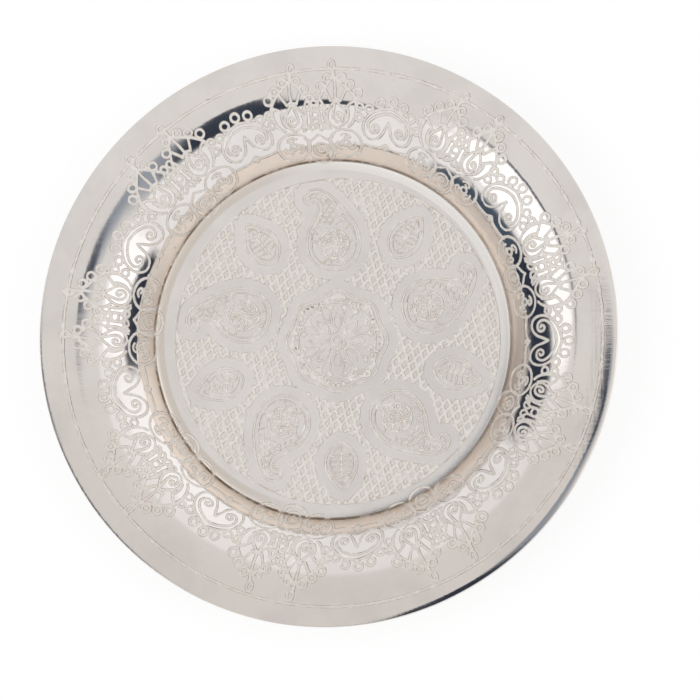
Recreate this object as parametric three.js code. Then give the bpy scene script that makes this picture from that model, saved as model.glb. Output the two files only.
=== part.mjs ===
// Trinket dish: a round pressed sheet-metal dish with a raised round floor, a groove round the floor,
// a curved wall, a flat rim and an edge rolled down round a wire, on four stick-on bumper feet.
// Millimetres, +Z up. The origin is the centre of the dish on the surface that it stands on.

import * as THREE from 'three';
import { mergeVertices } from 'three/addons/utils/BufferGeometryUtils.js';

// Driving sizes of the pressed sheet
const OUTSIDE_DIAMETER = 150;
const SHEET_THICKNESS = 0.75;
const RIM_WIDTH = 9.5;
const FLOOR_DEPTH = 10.5;
const FLOOR_RISE = 0.8;
const FLOOR_EDGE_RADIUS = 4;
const CREASE_DIAMETER = 92.4;
const GROOVE_WIDTH = 0.5;
const FOOT_FILLET_RADIUS = 1.3;
const SHOULDER_RADIUS = 18;

// Driving sizes of the wired edge
const WIRE_DIAMETER = 1.4;
const WIRE_CLEARANCE = 0.25;
const ROLL_TURN = THREE.MathUtils.degToRad(292.5);

// Driving sizes of the bumper feet
const FOOT_COUNT = 4;
const FOOT_DIAMETER = 8;
const FOOT_HEIGHT = 2;
const FOOT_EDGE_RADIUS = 1.2;
const FOOT_INSET = 2;
const FOOT_FILM = 0.1;

// Facets of the round shapes
const TURN_SEGMENTS = 72;
const WIRE_SIDES = 10;
const FOOT_SEGMENTS = 24;
const FLOOR_EDGE_STEPS = 3;
const CREASE_STEPS = 2;
const FOOT_FILLET_STEPS = 3;
const SHOULDER_STEPS = 6;
const ROLL_STEPS = 13;
const FOOT_EDGE_STEPS = 3;

// Heights: the feet lift the floor's underside, and everything above follows from it
const halfSheet = SHEET_THICKNESS / 2;
const floorUndersideZ = FOOT_HEIGHT + FOOT_FILM;
const floorTopZ = floorUndersideZ + SHEET_THICKNESS;
const grooveTopZ = floorTopZ - FLOOR_RISE;
const rimTopZ = floorTopZ + FLOOR_DEPTH;

// Stations along the radius
const outsideRadius = OUTSIDE_DIAMETER / 2;
const creaseRadius = CREASE_DIAMETER / 2;
const shoulderStart = outsideRadius - RIM_WIDTH;
const filletStart = creaseRadius + GROOVE_WIDTH;
const floorEdgeAngle = Math.acos(1 - FLOOR_RISE / FLOOR_EDGE_RADIUS);
const floorFlatRadius = creaseRadius - FLOOR_EDGE_RADIUS * Math.sin(floorEdgeAngle);
const rollCoreRadius = WIRE_DIAMETER / 2 + WIRE_CLEARANCE;
const rollRadius = rollCoreRadius + SHEET_THICKNESS;
const rollCentre = new THREE.Vector2(outsideRadius - rollRadius, rimTopZ - rollRadius);

// A stretch of the sheet's middle line: points on an arc, each with the heading that the sheet has there.
// A positive radius bends upwards as the radius grows, and a negative one bends downwards.
function arcStations(centre, radius, fromHeading, toHeading, steps) {
  const stations = [];
  for (let i = 0; i <= steps; i += 1) {
    const heading = fromHeading + ((toHeading - fromHeading) * i) / steps;
    const x = centre.x + radius * Math.sin(heading);
    const z = centre.y - radius * Math.cos(heading);
    stations.push({ x, z, heading });
  }
  return stations;
}

// The wall is the straight line that touches both the fillet at its foot and the shoulder at its top.
// The shoulder is no rounder than the space between the groove and the rim allows.
function wallBetween(filletCentre, filletRadius) {
  const run = shoulderStart - filletStart;
  const drop = rimTopZ - grooveTopZ;
  const roundest = (run * run + drop * drop) / (2 * drop) - filletRadius;
  const shoulderRadius = Math.min(SHOULDER_RADIUS - halfSheet, roundest);
  const shoulderCentre = new THREE.Vector2(shoulderStart, rimTopZ - halfSheet - shoulderRadius);
  const across = shoulderCentre.clone().sub(filletCentre);
  const reach = Math.min(1, (shoulderRadius + filletRadius) / across.length());
  const heading = across.angle() > Math.PI ? across.angle() - 2 * Math.PI : across.angle();
  return { shoulderCentre, shoulderRadius, angle: heading + Math.asin(reach) };
}

// The whole middle line of the sheet, from the axis to the end of the rolled edge
function sheetMiddleLine() {
  const crease = new THREE.Vector2(creaseRadius, grooveTopZ);
  const floorEdgeCentre = new THREE.Vector2(floorFlatRadius, floorTopZ - FLOOR_EDGE_RADIUS);
  const filletRadius = FOOT_FILLET_RADIUS + halfSheet;
  const filletCentre = new THREE.Vector2(filletStart, grooveTopZ + FOOT_FILLET_RADIUS);
  const wall = wallBetween(filletCentre, filletRadius);
  const floorBend = -(FLOOR_EDGE_RADIUS - halfSheet);
  return [
    { x: 0, z: floorTopZ - halfSheet, heading: 0 },
    ...arcStations(floorEdgeCentre, floorBend, 0, -floorEdgeAngle, FLOOR_EDGE_STEPS),
    ...arcStations(crease, halfSheet, -floorEdgeAngle, 0, CREASE_STEPS).slice(1),
    ...arcStations(filletCentre, filletRadius, 0, wall.angle, FOOT_FILLET_STEPS),
    ...arcStations(wall.shoulderCentre, -wall.shoulderRadius, wall.angle, 0, SHOULDER_STEPS),
    ...arcStations(rollCentre, -(rollCoreRadius + halfSheet), 0, -ROLL_TURN, ROLL_STEPS),
  ];
}

// One face of the sheet, half a thickness to one side of the middle line, without doubled points
function sheetFace(stations, side) {
  const points = stations.map(({ x, z, heading }) => new THREE.Vector2(
    x - side * halfSheet * Math.sin(heading),
    z + side * halfSheet * Math.cos(heading),
  ));
  const shortest = SHEET_THICKNESS / 1000;
  return points.filter((point, i) => i === 0 || point.distanceTo(points[i - 1]) > shortest);
}

// A closed solid turned about the vertical axis from a profile of radius and height.
// Corners that meet on the axis or at the seam are shared, and empty triangles are left out.
function turnedSolid(profile, segments) {
  const lathe = new THREE.LatheGeometry(profile, segments);
  lathe.deleteAttribute('normal');
  lathe.deleteAttribute('uv');
  lathe.rotateX(Math.PI / 2);
  const merged = mergeVertices(lathe, 1e-5);
  const corners = merged.getIndex().array;
  const kept = [];
  for (let i = 0; i < corners.length; i += 3) {
    const [a, b, c] = corners.slice(i, i + 3);
    if (a !== b && b !== c && c !== a) kept.push(a, b, c);
  }
  merged.setIndex(kept);
  merged.computeVertexNormals();
  return merged;
}

function meshOf(name, geometry, material) {
  const mesh = new THREE.Mesh(geometry, material);
  mesh.name = name;
  return mesh;
}

// The pressed dish with its rolled edge, one sheet of silver-plated brass
function makeDishBody() {
  const stations = sheetMiddleLine();
  const profile = [...sheetFace(stations, -1), ...sheetFace(stations, 1).reverse()];
  const silver = new THREE.MeshStandardMaterial({ color: 0xd9d3cb, roughness: 0.22, metalness: 1 });
  return meshOf('dish_body', turnedSolid(profile, TURN_SEGMENTS), silver);
}

// The wire ring that stiffens the rolled edge and lies loose inside it
function makeRimWire() {
  const profile = [];
  for (let i = 0; i <= WIRE_SIDES; i += 1) {
    const turn = (2 * Math.PI * (i % WIRE_SIDES)) / WIRE_SIDES;
    const x = rollCentre.x + (WIRE_DIAMETER / 2) * Math.cos(turn);
    const z = rollCentre.y + (WIRE_DIAMETER / 2) * Math.sin(turn);
    profile.push(new THREE.Vector2(x, z));
  }
  const brass = new THREE.MeshStandardMaterial({ color: 0xb59a5c, roughness: 0.4, metalness: 1 });
  return meshOf('rim_wire', turnedSolid(profile, TURN_SEGMENTS), brass);
}

// One clear bumper foot: a low disc with a rounded lower edge
function makeFoot(number) {
  const radius = FOOT_DIAMETER / 2;
  const profile = [new THREE.Vector2(0, 0)];
  for (let i = 0; i <= FOOT_EDGE_STEPS; i += 1) {
    const turn = ((Math.PI / 2) * i) / FOOT_EDGE_STEPS;
    const x = radius - FOOT_EDGE_RADIUS + FOOT_EDGE_RADIUS * Math.sin(turn);
    const z = FOOT_EDGE_RADIUS - FOOT_EDGE_RADIUS * Math.cos(turn);
    profile.push(new THREE.Vector2(x, z));
  }
  profile.push(new THREE.Vector2(radius, FOOT_HEIGHT), new THREE.Vector2(0, FOOT_HEIGHT));
  const clear = new THREE.MeshStandardMaterial({
    color: 0xe6e4df,
    roughness: 0.15,
    metalness: 0,
    transparent: true,
    opacity: 0.5,
  });
  const foot = meshOf(`foot_pad_${number}`, turnedSolid(profile, FOOT_SEGMENTS), clear);
  const circle = floorFlatRadius - FOOT_INSET - radius;
  const bearing = (2 * Math.PI * (number - 0.5)) / FOOT_COUNT;
  foot.position.set(circle * Math.cos(bearing), circle * Math.sin(bearing), 0);
  return foot;
}

const trinketDish = new THREE.Group();
trinketDish.add(makeDishBody(), makeRimWire());
for (let number = 1; number <= FOOT_COUNT; number += 1) trinketDish.add(makeFoot(number));

export default trinketDish;
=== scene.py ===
import math

import bmesh
import bpy
import numpy as np
from bpy.props import FloatProperty, FloatVectorProperty, IntProperty, PointerProperty
from mathutils import Matrix, Vector
from mathutils.geometry import delaunay_2d_cdt


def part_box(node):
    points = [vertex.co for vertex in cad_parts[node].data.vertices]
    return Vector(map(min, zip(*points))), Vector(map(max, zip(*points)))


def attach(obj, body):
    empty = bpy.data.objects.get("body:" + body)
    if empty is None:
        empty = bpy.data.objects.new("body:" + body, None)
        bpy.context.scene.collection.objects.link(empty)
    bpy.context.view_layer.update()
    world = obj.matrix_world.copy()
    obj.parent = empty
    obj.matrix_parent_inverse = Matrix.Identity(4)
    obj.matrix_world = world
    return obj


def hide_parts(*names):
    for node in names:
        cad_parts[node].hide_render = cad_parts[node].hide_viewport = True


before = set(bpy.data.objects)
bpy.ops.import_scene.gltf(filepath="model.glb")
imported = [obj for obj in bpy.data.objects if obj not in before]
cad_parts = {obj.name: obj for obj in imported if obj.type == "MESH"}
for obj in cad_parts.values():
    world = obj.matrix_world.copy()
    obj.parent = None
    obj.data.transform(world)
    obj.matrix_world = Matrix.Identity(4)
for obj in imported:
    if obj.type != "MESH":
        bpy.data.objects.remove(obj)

bl_info = {
    "name": "Trinket Dish",
    "version": (1, 0, 0),
    "blender": (4, 5, 0),
    "location": "View3D > Sidebar > Trinket Dish",
    "description": "Round silver-plated trinket dish with an etched lace border and a lattice floor",
    "category": "Object",
}

MM = 0.001
TINY = 1e-9
BODY = "root"
DISH_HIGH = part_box("dish_body")[1]
FOOT_NODES = ["foot_pad_1", "foot_pad_2", "foot_pad_3", "foot_pad_4"]
ARC_POINTS = 33


# Sizes and finishes


def length(name, description, default):
    """A length in millimetres."""
    return FloatProperty(name=name, description=description, default=default, min=0.0, precision=3)


def angle(name, description, degrees):
    return FloatProperty(name=name, description=description, default=math.radians(degrees), subtype="ANGLE")


def colour(name, description, default):
    return FloatVectorProperty(
        name=name, description=description, default=default, size=3, min=0.0, max=1.0, subtype="COLOR"
    )


def plane_vector(name, description, default, precision=2):
    """Two numbers, along x and along y."""
    return FloatVectorProperty(
        name=name, description=description, default=default, size=2, precision=precision
    )


class SheetSizes(bpy.types.PropertyGroup):
    """Pressed sheet of the dish, in millimetres."""

    outside_radius: length("Outside Radius", "Axis to the outermost point of the edge", DISH_HIGH[0] / MM)
    rim_height: length("Rim Height", "Table to the flat top of the rim", DISH_HIGH[2] / MM)
    thickness: length("Sheet Thickness", "Thickness of the metal", 0.75)
    rim_width: length("Rim Width", "Flat rim from the shoulder to the outside", 9.5)
    floor_depth: length("Floor Depth", "Top of the rim down to the floor", 10.5)
    floor_rise: length("Floor Rise", "Floor above the groove that runs round it", 0.8)
    floor_edge_radius: length("Floor Edge Radius", "Rounding at the edge of the floor", 4.0)
    crease_radius: length("Crease Radius", "Axis to the crease at the foot of the floor edge", 46.2)
    groove_width: length("Groove Width", "Flat groove outside the crease", 0.5)
    foot_fillet: length("Wall Foot Radius", "Rounding between the groove and the wall", 1.3)
    shoulder_radius: length("Shoulder Radius", "Rounding between the wall and the rim", 18.0)
    roll_radius: length("Roll Radius", "Outer radius of the rolled edge", 1.7)
    roll_turn: angle("Roll Turn", "How far the edge is rolled round its wire", 292.5)
    spin_steps: IntProperty(name="Segments", description="Segments round the dish", default=180, min=36)


class OrnamentSizes(bpy.types.PropertyGroup):
    """Etched ornament, in millimetres on the flat sheet."""

    border_stroke: length("Border Stroke", "Width of the lines of the border", 0.84)
    border_shift: plane_vector("Border Shift", "Centre of the border from the axis", (1.19, 1.05))
    line_radius: length("Rim Line Radius", "Line that runs round the rim", 73.8)
    line_width: length("Rim Line Width", "Width of that line", 0.84)
    line_shift: plane_vector("Rim Line Shift", "Centre of the rim line from the axis", (1.39, -0.51))
    oval: plane_vector("Oval", "Slight oval of the border, as a share of the radius", (0.0038, 0.0005), 4)
    field_radius: length("Lattice Radius", "Round lattice field on the floor", 42.2)
    field_shift: plane_vector("Lattice Shift", "Centre of the lattice field from the axis", (1.41, -0.59))
    lattice_pitch: length("Lattice Pitch", "Distance between lattice lines", 1.93)
    lattice_line: length("Lattice Line", "Width of the lattice lines", 0.92)
    steep_line: angle("Steep Lines", "Direction of one family of lattice lines", 105.3)
    slant_line: angle("Slanting Lines", "Direction of the other family of lattice lines", 45.7)
    plain_band: length("Plain Band", "Polished band round each figure on the lattice", 2.6)
    etch_depth: length("Etch Depth", "How deep the acid ate the lines", 0.11)
    etch_wall: length("Etch Wall", "Width of the sloping side of an etched line", 0.14)


class Finishes(bpy.types.PropertyGroup):
    """Colours of the finished surfaces."""

    silver: colour("Silver", "Polished silver plate", (0.80, 0.765, 0.742))
    etched: colour("Etched Silver", "Matte ground of the etched lines", (0.87, 0.825, 0.775))
    # Brown patina of the spots and stains, also used for painted shade along the etched edges and in the
    # crease.
    patina_and_shade: colour("Patina And Shade", "Brown tarnish left in corners and along etched edges", (0.30, 0.20, 0.12))
    # Yellowed silver, also a painted reflection of the dish floor at the foot of the wall.
    reflection_and_yellowing: colour("Yellowing And Reflection", "Yellowed silver and painted floor reflection at the foot of the wall", (0.96, 0.825, 0.71))
    # Painted highlight on the upper right of the floor edge.
    edge_highlight: colour("Edge Highlight", "Painted highlight on the upper right of the floor edge", (0.90, 0.87, 0.84))
    # Painted shade on the left of the floor edge.
    edge_shade: colour("Edge Shade", "Painted shade on the left of the floor edge", (0.676, 0.615, 0.555))
    shade: colour("Shade", "Tint that darkens the near side of the rim", (0.91, 0.892, 0.875))
    wire: colour("Wire", "Drawn wire in the rolled edge", (0.66, 0.54, 0.32))
    bumper: colour("Bumper", "Clear soft feet", (0.88, 0.87, 0.84))


class StageSettings(bpy.types.PropertyGroup):
    """Camera and light."""

    distance: FloatProperty(name="Distance", description="Camera to the rim", default=1.5, unit="LENGTH")
    lens: FloatProperty(name="Lens", description="Focal length in millimetres", default=301.0)
    tilt: angle("Tilt", "Camera off the axis of the dish", 10.2)
    bearing: angle("Bearing", "Side to which the camera is off the axis", -36.1)
    aim: plane_vector("Aim", "Middle of the picture from the middle of the rim, in mm", (6.17, -3.96))
    world_light: FloatProperty(name="World Light", description="Light from all round", default=0.62)
    floor_glow: FloatProperty(name="Floor Glow", description="Light of the white floor", default=1.15)
    glow_share: FloatProperty(name="Glow Share", description="Share of glow in the seen floor", default=0.7)


# Pressed shape


def on_arc(centre, radius, slope):
    """Point of a profile arc at a slope. A hollow arc has a negative radius."""
    return centre[0] - radius * np.sin(slope), centre[1] + radius * np.cos(slope)


class Profile:
    """Top face of the sheet from the axis to the rolled edge, against its length on the flat sheet."""

    def __init__(self, s):
        self.sizes = s
        self.floor = s.rim_height - s.floor_depth
        self.groove = self.floor - s.floor_rise
        self.edge_turn = math.acos(1 - s.floor_rise / s.floor_edge_radius)
        self.flat_end = s.crease_radius - s.floor_edge_radius * math.sin(self.edge_turn)
        self.edge_centre = (self.flat_end, self.floor - s.floor_edge_radius)
        self.foot = (s.crease_radius + s.groove_width, self.groove + s.foot_fillet)
        self.shoulder = (s.outside_radius - s.rim_width, s.rim_height - s.shoulder_radius)
        self.roll_start = s.outside_radius - s.roll_radius
        across = (self.shoulder[0] - self.foot[0], self.shoulder[1] - self.foot[1])
        both_radii = s.foot_fillet + s.shoulder_radius
        slope = math.atan2(across[1], across[0]) + math.asin(both_radii / math.hypot(*across))
        self.wall_slope = slope
        self.end = 0.0
        rows = []

        def add(run, radii, heights, slopes):
            """Adds a stretch and returns the length on the flat sheet at which it starts."""
            start = self.end
            for part, r, z, a in zip(np.linspace(0, run, len(radii)), radii, heights, slopes):
                rows.append((start + part, r, z, a))
            self.end += run
            return start

        def line(r0, z0, r1, z1):
            a = math.atan2(z1 - z0, r1 - r0)
            return add(math.hypot(r1 - r0, z1 - z0), [r0, r1], [z0, z1], [a, a])

        def arc(centre, radius, a0, a1):
            a = np.linspace(a0, a1, ARC_POINTS)
            return add(abs(radius * (a1 - a0)), *on_arc(centre, radius, a), a)

        line(0, self.floor, self.flat_end, self.floor)
        self.edge_start = arc(self.edge_centre, s.floor_edge_radius, 0, -self.edge_turn)
        self.crease = line(s.crease_radius, self.groove, self.foot[0], self.groove)
        self.fillet_start = arc(self.foot, -s.foot_fillet, 0, slope)
        wall_low = on_arc(self.foot, -s.foot_fillet, slope)
        wall_high = on_arc(self.shoulder, s.shoulder_radius, slope)
        self.fillet_end = line(*wall_low, *wall_high)
        arc(self.shoulder, s.shoulder_radius, slope, 0)
        line(self.shoulder[0], s.rim_height, self.roll_start, s.rim_height)
        self.table = np.array(rows)

    def at(self, run):
        """Radius, height and slope at a length along the sheet."""
        t = self.table
        keys = t[:, 0] + np.arange(len(t)) * TINY
        return [np.interp(run, keys, t[:, column]) for column in (1, 2, 3)]

    def slope_at(self, radius):
        t = self.table
        return np.interp(radius, t[:, 1] + np.arange(len(t)) * TINY, t[:, 3])

    def below(self):
        """Rolled edge and underside, from the start of the roll to the axis, in (radius, height) pairs."""
        s = self.sizes
        roll_centre = (self.roll_start, s.rim_height - s.roll_radius)
        edge = s.floor_edge_radius - s.thickness
        low = self.groove - s.thickness
        end = on_arc(self.edge_centre, edge, -self.edge_turn)
        corner = (end[0] + (end[1] - low) / math.tan(self.edge_turn), low)
        turn = np.linspace(0, s.roll_turn, 21)
        points = [on_arc(roll_centre, s.roll_radius, -a) for a in turn]
        points += [on_arc(roll_centre, s.roll_radius - s.thickness, -a) for a in turn[::-2]]
        for centre, radius, slopes in (
            (self.shoulder, s.shoulder_radius - s.thickness, np.linspace(0, self.wall_slope, 11)),
            (self.foot, -s.foot_fillet - s.thickness, np.linspace(self.wall_slope, 0, 6)),
        ):
            points += [on_arc(centre, radius, a) for a in slopes]
        points += [corner] + [on_arc(self.edge_centre, edge, -a) for a in np.linspace(self.edge_turn, 0, 5)]
        return points + [(0.0, self.floor - s.thickness)]


# Etched ornament, drawn on the flat sheet with complex numbers in millimetres


def polar(degrees, radius):
    return radius * np.exp(1j * np.radians(degrees))


def curve(points, closed=False, steps=7):
    """Smooth line through the points."""
    p = np.asarray(points, complex)
    if closed:
        p = np.concatenate([p[-1:], p, p[:2]])
    else:
        p = np.concatenate([[2 * p[0] - p[1]], p, [2 * p[-1] - p[-2]]])
    t = np.linspace(0, 1, steps, endpoint=False)
    parts = [
        0.5 * (2 * b + (c - a) * t + (2 * a - 5 * b + 4 * c - d) * t**2 + (3 * b - a - 3 * c + d) * t**3)
        for a, b, c, d in zip(p, p[1:], p[2:], p[3:])
    ]
    return np.concatenate(parts + [p[-2:-1]])


def along(*pairs, closed=False):
    """Smooth line through (degrees, radius) pairs."""
    return curve([polar(*pair) for pair in pairs], closed)


def straight(*pairs):
    return np.array([polar(*pair) for pair in pairs])


def at(degrees, radius, shape):
    """A small shape set at a place, with its x towards growing angle and its y outwards."""
    turn = np.exp(1j * math.radians(degrees))
    shape = np.asarray(shape, complex)
    return (radius + shape.imag + 1j * shape.real) * turn


def loop(width, height, lean=0.0):
    """Closed oval about zero, half its width and height."""
    t = np.linspace(0, 2 * np.pi, 22)
    return (width * np.cos(t) + 1j * height * np.sin(t)) * np.exp(1j * math.radians(lean))


def flipped(line):
    """Mirror image of a line in the direction of zero degrees."""
    return np.conj(line)


def turned(line, degrees):
    return line * np.exp(1j * math.radians(degrees))


def heart():
    """Heart of the border with its inner scrolls and the five loops that crown it, at zero degrees."""
    half = along(
        (0, 59.3), (0.6, 57.8), (1.25, 55.7), (2.3, 54.1), (3.4, 53.35), (4.6, 53.2), (5.9, 53.8),
        (6.7, 55.2), (6.95, 57.3), (6.35, 59.4), (5.0, 61.2), (3.0, 62.5), (1.4, 63.15), (0, 63.5),
    )
    scroll_half = along(
        (0, 61.9), (1.6, 61.6), (3.1, 60.9), (4.6, 59.8), (5.6, 58.2), (5.4, 56.5), (4.4, 55.55),
        (3.2, 55.7), (2.6, 56.7), (3.0, 57.8), (3.9, 57.9), (4.3, 57.1), (3.8, 56.6),
    )
    lines = []
    for line in (half, scroll_half):
        lines += [line, flipped(line)]
    for degrees, radius, lean in ((5.65, 62.25, -28), (3.05, 64.25, -14), (0, 65.0, 0)):
        for side in (1, -1) if degrees else (1,):
            lines.append(at(side * degrees, radius, loop(1.12, 1.06, side * lean)))
    bracket = along((7.6, 51.6), (5.4, 51.15), (3.4, 51.05), (1.6, 51.2), (0.85, 51.7), (0, 52.35))
    drop = at(0, 51.1, loop(0.42, 0.42))
    return lines + [bracket, flipped(bracket), drop]


def peak():
    """Lace peak with its loops, lens cells and spiral drop. The heart is at zero degrees."""
    lines = [
        at(15.46, 73.15, loop(0.82, 1.32, -4)),
        straight((14.95, 72.0), (14.8, 69.9), (14.5, 66.8), (14.45, 63.9)),
        straight((15.25, 71.9), (15.0, 70.2), (14.75, 69.2)),
        along((14.8, 70.0), (13.6, 68.6), (12.2, 67.4), (10.4, 65.6), (9.2, 63.9), (8.75, 62.4)),
        along((14.95, 70.0), (16.0, 68.7), (17.2, 66.6), (18.5, 64.5), (19.4, 63.1), (20, 62.9)),
        straight((11.75, 66.9), (12.4, 65.4), (13.15, 63.9)),
        straight((17.0, 66.9), (16.3, 65.2), (15.65, 63.9)),
        straight((9.3, 64.1), (10.6, 63.3), (11.5, 62.2), (12.05, 61.6)),
        straight((18.35, 64.7), (17.6, 63.0), (16.9, 61.9)),
        straight((13.15, 63.9), (14.1, 64.35), (15.65, 63.9)),
        along((9.3, 63.4), (9.0, 61.3), (9.35, 59.3), (10.1, 57.6), (11.0, 56.6)),
        along((11.5, 62.3), (11.15, 61.0), (11.2, 59.4), (11.7, 57.9)),
        along((17.35, 62.4), (17.6, 60.8), (17.45, 58.9), (17.05, 57.6)),
        along((17.35, 62.3), (18.2, 61.9), (18.95, 61.7)),
        along((18.9, 63.6), (19.05, 61.8), (18.85, 59.6), (18.95, 57.9)),
        along(
            (14.4, 64.1), (13.2, 62.5), (12.1, 60.9), (11.75, 59.2), (12.35, 57.4), (13.5, 56.35),
            (14.6, 56.2), (15.8, 56.9), (16.7, 58.3), (16.75, 60.2), (16.1, 61.9), (15.2, 63.2),
            (14.4, 64.1),
        ),
        along(
            (14.65, 63.6), (14.95, 61.8), (15.25, 60.0), (15.0, 58.6), (14.1, 57.75), (13.1, 58.0),
            (12.75, 59.2), (13.15, 60.3), (13.9, 60.45), (14.2, 59.7), (13.75, 59.2),
        ),
    ]
    for degrees, radius, size in (
        (13.15, 69.75, 1.1), (11.1, 67.95, 1.1), (9.0, 65.95, 1.1), (8.15, 62.5, 0.98), (8.15, 59.5, 1.02),
        (16.3, 69.6, 1.02), (17.9, 67.3, 1.08), (19.1, 64.75, 0.88),
    ):
        lines.append(at(degrees, radius, loop(size, size)))
    return lines


def saddle():
    """Small arches and petals between two peaks, at zero degrees."""
    petal = along(
        (1.75, 57.0), (1.0, 58.0), (0.35, 57.2), (0.55, 56.1), (1.5, 55.6), (2.1, 56.2), (1.75, 57.0),
    )
    leaf = along((3.9, 55.7), (3.1, 57.1), (2.2, 57.3), (2.5, 56.2), (3.2, 55.5))
    lines = [
        at(0, 60.15, loop(1.25, 1.15)),
        along((-1.15, 61.8), (-0.6, 62.5), (0, 62.95), (0.6, 62.5), (1.15, 61.8)),
        along((-1.3, 61.9), (0, 61.45), (1.3, 61.9)),
    ]
    for line in (petal, leaf):
        lines += [line, flipped(line)]
    return lines


def roundel():
    """Round medallion of the lower row with a ring and three hooked scrolls, at zero degrees."""
    hook = curve([1.15 + 2.2j, 0.3 + 2.75j, -0.75 + 2.5j, -1.1 + 1.75j, -0.5 + 1.35j, 0.15 + 1.7j])
    lines = [at(0, 51.3, loop(4.3, 4.25)), at(0, 51.3, loop(0.92, 0.92))]
    for degrees in (0, 120, 240):
        lines.append(at(0, 51.3, hook * np.exp(1j * math.radians(degrees))))
    return lines


def onion():
    """Pointed medallion between two roundels, at zero degrees."""
    half = along((0, 54.0), (1.0, 53.1), (2.9, 52.0), (3.95, 50.2), (3.8, 48.0), (2.6, 46.2), (0, 45.55))
    return [half, flipped(half), at(0, 49.3, loop(1.95, 1.9)), at(0, 49.3, loop(0.75, 0.7))]


# The border was laid out by hand: the hearts are unevenly spaced, and the art is drawn in at its foot
HEART_DIRECTIONS = np.array([-83.4, -41.7, -3.3, 36.0, 74.7, 114.0, 155.0, 195.5, 237.3])
DRAWN_RADII = (40.0, 47.0, 53.2, 57.0, 63.4, 66.4, 75.0)
ETCHED_RADII = (39.9, 46.9, 53.7, 57.3, 63.4, 66.7, 74.9)


def laid_out(line, repeat):
    """A border line of one repeat, moved to its place on the sheet."""
    steps = np.degrees(np.angle(line)) / 40 + repeat
    count = len(HEART_DIRECTIONS)
    index = np.arange(-2, count + 2)
    directions = HEART_DIRECTIONS[index % count] + 360 * np.floor_divide(index, count)
    return polar(np.interp(steps, index, directions), np.interp(abs(line), DRAWN_RADII, ETCHED_RADII))


def border_lines():
    """One repeat of the border, centred on its heart."""
    right = [turned(line, -20) for line in peak()]
    lines = heart()
    for line in right:
        lines += [turned(line, 20), turned(flipped(line), 20)]
    lines += [turned(line, 20) for line in saddle() + onion()]
    lines += [turned(line, 12.05) for line in roundel()]
    lines += [turned(flipped(line), -12.05) for line in roundel()]
    return lines


def boteh_outline():
    """Curled drop of the floor ornament, tip outwards, about the middle of its body."""
    return curve(
        [
            -8.1j, 4.5 - 7.0j, 7.5 - 3.7j, 8.3 + 0.4j, 7.6 + 4.3j, 5.9 + 7.7j, 4.6 + 10.4j,
            4.7 + 12.4j, 5.9 + 13.3j, 7.4 + 12.6j, 8.7 + 13.7j, 8.2 + 15.9j, 5.9 + 17.1j, 2.9 + 16.6j,
            0.0 + 14.5j, -3.0 + 11.3j, -6.0 + 7.3j, -7.9 + 3.0j, -8.1 - 1.5j, -6.6 - 5.1j, -3.8 - 7.4j,
        ],
        closed=True, steps=6,
    )


def blossom(petals, inner, outer, width):
    """Ring of pointed petals about zero, width in degrees to each side."""
    lines = []
    middle = inner + 0.55 * (outer - inner)
    for k in range(petals):
        a = 360 / petals * k
        bends = [polar(a + width * 0.8, middle - 0.3), polar(a + width * 0.55, middle + 1.0)]
        side = curve([polar(a, inner), *bends, polar(a, outer)])
        lines += [side, polar(2 * a, 1) * np.conj(side)]
    return lines


def boteh_lines():
    """Blossom inside a boteh, about the middle of its body."""
    return [at(0, 0, loop(0.95, 0.95)), at(0, 0, loop(4.6, 4.6))] + blossom(8, 1.5, 4.3, 20)


def bud_outline():
    """Pointed bud between two botehs, tip outwards."""
    half = [3.2 - 3.9j, 4.1 - 0.6j, 3.1 + 2.7j]
    return curve([-6.2j, *half, 6.4j, *(-np.conj(p) for p in reversed(half))], closed=True)


def bud_lines():
    """Vein and feathered leaf strokes inside a bud."""
    lines = [np.array([-4.6j, 4.4j])]
    for height in (-3.6, -2.2, -0.8, 0.6, 2.0):
        feather = curve([height * 1j, 0.8 + (height + 0.9) * 1j, 2.3 + (height + 1.1) * 1j])
        lines += [feather, -np.conj(feather)]
    return lines


def scale_rows(reach, width=1.7, height=1.25):
    """Rows of small overlapping arches about zero, as (middle, line) pairs."""
    arch = 0.52 * width * np.exp(1j * np.linspace(0.06, 0.94, 8) * np.pi)
    rows = int(reach / height)
    for row in range(-rows, rows + 1):
        for column in range(-int(reach / width) - 1, int(reach / width) + 2):
            middle = (column + 0.5 * (row % 2)) * width + 1j * row * height
            if abs(middle) < reach:
                yield middle, middle + arch


# Places of the figures on the floor, in degrees and millimetres from its centre
BOTEH_DIRECTIONS = range(92, 92 + 360, 72)
BOTEH_REACH = 25.3
BOTEH_SCALE = 0.84
BUD_REACH = 32.4
BLOSSOM_REACH = 4.9


def floor_ornament():
    """Outlines of the figures on the floor, and the lines inside them."""
    turn = np.linspace(0, 2 * np.pi, 97)
    outlines = [12.7 * np.exp(1j * turn) * (1 + 0.04 * np.cos(8 * turn))]
    lines = [at(0, 0, loop(size, size)) for size in (1.2, 2.2, 10.1)]
    lines += blossom(8, 2.6, 7.2, 15)
    lines += [turned(line, 22.5) for line in blossom(8, 5.2, 9.7, 11)]
    lines += [at(22.5 * k + 11.25, 8.9, loop(0.42, 0.42)) for k in range(16)]
    for direction in BOTEH_DIRECTIONS:
        bud_direction = direction + 36
        outlines.append(at(direction, BOTEH_REACH, BOTEH_SCALE * boteh_outline()))
        outlines.append(at(bud_direction, BUD_REACH, bud_outline()))
        lines += [at(direction, BOTEH_REACH, BOTEH_SCALE * line) for line in boteh_lines()]
        lines += [at(bud_direction, BUD_REACH, line) for line in bud_lines()]
    return outlines, lines


def boteh_scales():
    """Arches that fill the botehs round their blossoms, as (middle, line) pairs."""
    for direction in BOTEH_DIRECTIONS:
        for middle, line in scale_rows(16.0):
            if abs(middle) > BLOSSOM_REACH:
                yield at(direction, BOTEH_REACH, middle), at(direction, BOTEH_REACH, line)


# Distance maps of the ornament and the etched face that is cut from them

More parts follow.
